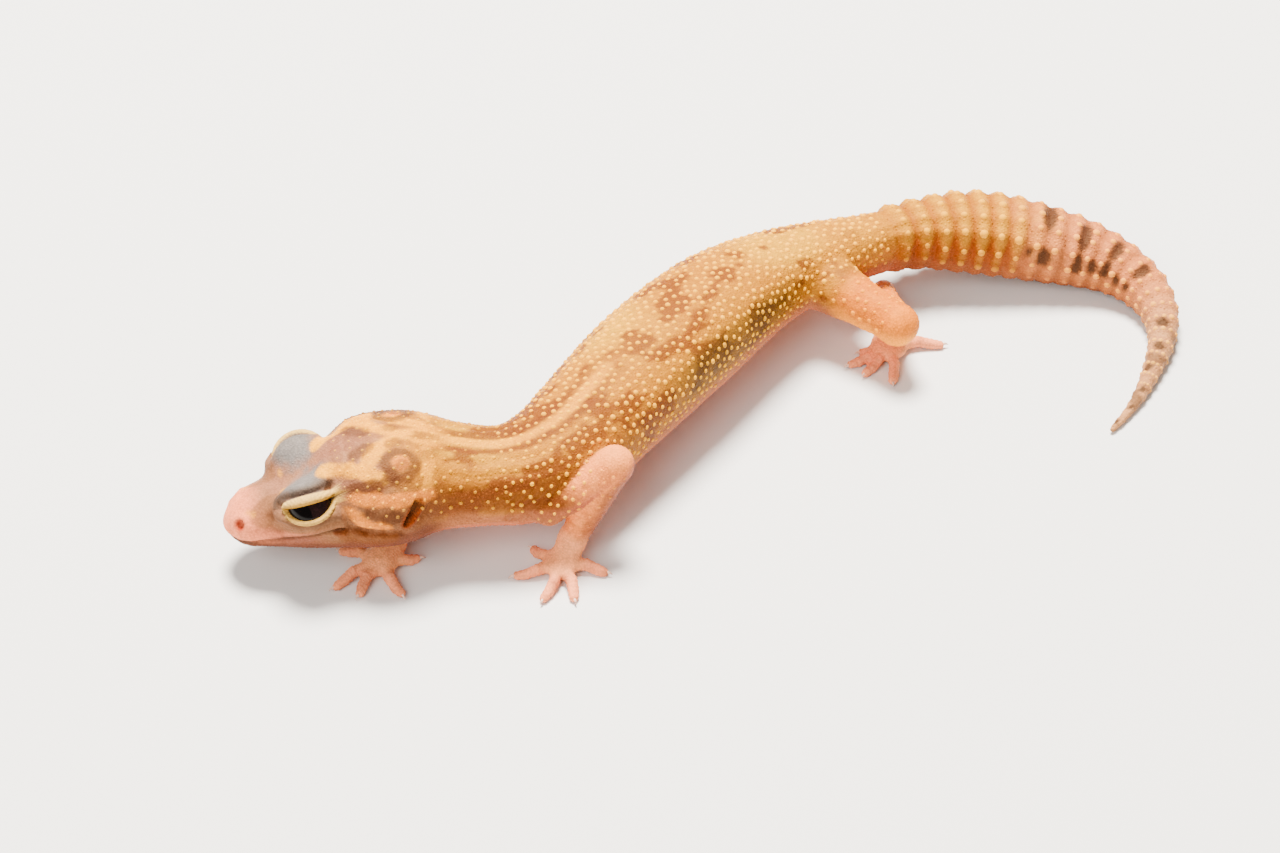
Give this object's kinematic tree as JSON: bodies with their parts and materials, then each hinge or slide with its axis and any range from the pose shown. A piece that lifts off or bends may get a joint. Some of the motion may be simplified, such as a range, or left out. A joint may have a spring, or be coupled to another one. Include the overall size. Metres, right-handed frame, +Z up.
{
  "type": "leopard gecko",
  "caption": "Life-size still model of a leopard gecko walking over a floor, head low, trunk bent in an S and the ringed tail curled round to its left.",
  "frame": {"origin": "middle of the footprint's box, on the floor that the feet and tail rest on", "axes": "+Y towards the hips and tail, the head points towards -Y and a little towards -X, +X the animal's left, +Z up"},
  "size_m": [0.0626, 0.122, 0.0169],
  "materials": {
    "head_skin": "soft matt scaly skin, pink and cream with rust brown patches",
    "jaw_skin": "soft matt fine-scaled skin, pink",
    "trunk_skin": "matt scaly skin, orange yellow with rust brown blotches and pale knobs",
    "tail_skin": "matt ringed scaly skin, yellow orange",
    "tail_end_skin": "matt ringed scaly skin, pink with dark brown dashes",
    "limb_skin": "matt fine-scaled skin, peach pink",
    "foot_skin": "matt fine-scaled skin, pale peach",
    "eye_globe": "glossy wet eye, near-black brown",
    "claw_horn": "smooth translucent horn"
  },
  "bodies": {
    "root": {"head": "head_skin", "lower_jaw": "jaw_skin", "neck": "head_skin", "chest": "trunk_skin", "belly": "trunk_skin", "hips": "trunk_skin", "tail_1": "tail_skin", "tail_2": "tail_skin", "tail_3": "tail_end_skin", "tail_4": "tail_end_skin", "eye_left": "eye_globe", "eye_right": "eye_globe", "upper_arm_left": "limb_skin", "upper_arm_right": "limb_skin", "forearm_left": "limb_skin", "forearm_right": "limb_skin", "thigh_left": "limb_skin", "thigh_right": "limb_skin", "shin_left": "limb_skin", "shin_right": "limb_skin", "foot_fore_left": "foot_skin", "foot_fore_right": "foot_skin", "foot_hind_left": "foot_skin", "foot_hind_right": "foot_skin", "claw_fore_left_1": "claw_horn", "claw_fore_left_2": "claw_horn", "claw_fore_left_3": "claw_horn", "claw_fore_left_4": "claw_horn", "claw_fore_left_5": "claw_horn", "claw_fore_right_1": "claw_horn", "claw_fore_right_2": "claw_horn", "claw_fore_right_3": "claw_horn", "claw_fore_right_4": "claw_horn", "claw_fore_right_5": "claw_horn", "claw_hind_left_1": "claw_horn", "claw_hind_left_2": "claw_horn", "claw_hind_left_3": "claw_horn", "claw_hind_left_4": "claw_horn", "claw_hind_left_5": "claw_horn", "claw_hind_right_1": "claw_horn", "claw_hind_right_2": "claw_horn", "claw_hind_right_3": "claw_horn", "claw_hind_right_4": "claw_horn", "claw_hind_right_5": "claw_horn"}
  },
  "joints": []
}
